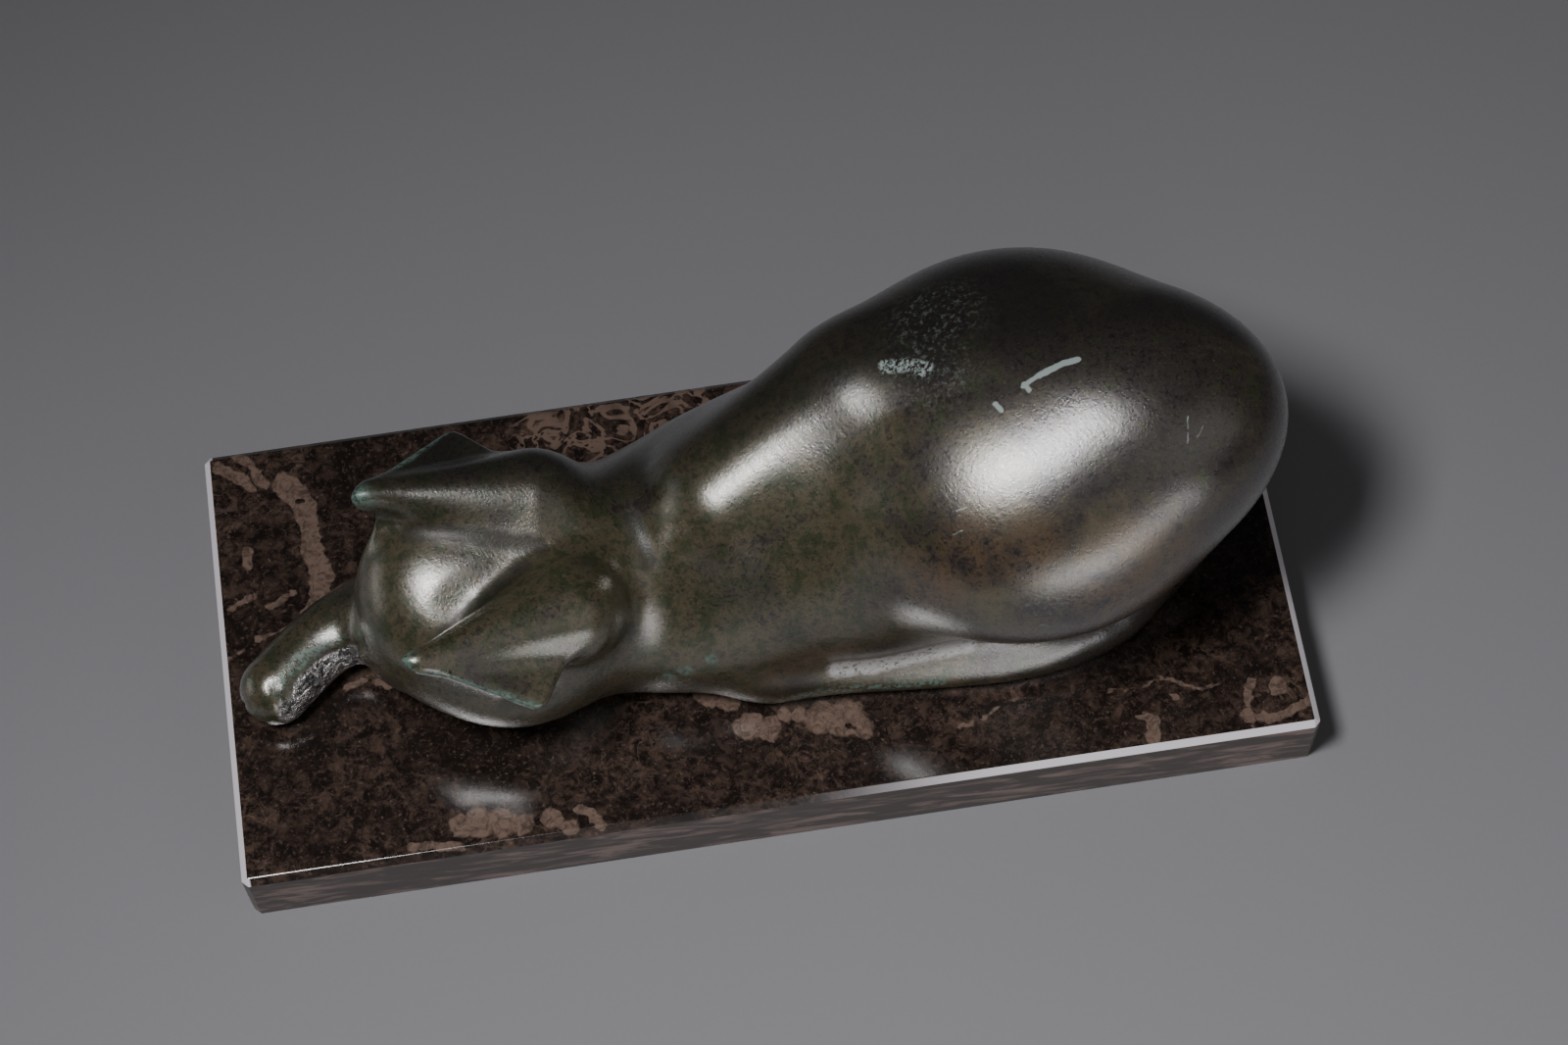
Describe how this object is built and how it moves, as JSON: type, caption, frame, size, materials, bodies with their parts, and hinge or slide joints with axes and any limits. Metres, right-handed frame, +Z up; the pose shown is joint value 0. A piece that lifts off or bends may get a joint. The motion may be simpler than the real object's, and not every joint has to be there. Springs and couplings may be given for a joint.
{
  "type": "bronze cat sculpture on a marble plinth",
  "caption": "Crouching cat cast in dark bronze, with a raised rump and lowered head, on a rectangular polished marble plinth.",
  "frame": {"origin": "middle of the plinth's underside", "axes": "+X along the plinth from the cat's head to its rump, +Z up, so the cat's face is at -X and its near side at -Y"},
  "size_m": [0.25, 0.11, 0.1108],
  "materials": {
    "bronze": "cast bronze with a dark brown and olive patina, polished to a satin gloss, with turquoise verdigris on the ears and feet",
    "marble": "polished dark brown fossil marble with cream shells and veins"
  },
  "bodies": {
    "root": {"bronze_cat": "bronze", "marble_plinth": "marble"}
  },
  "joints": []
}
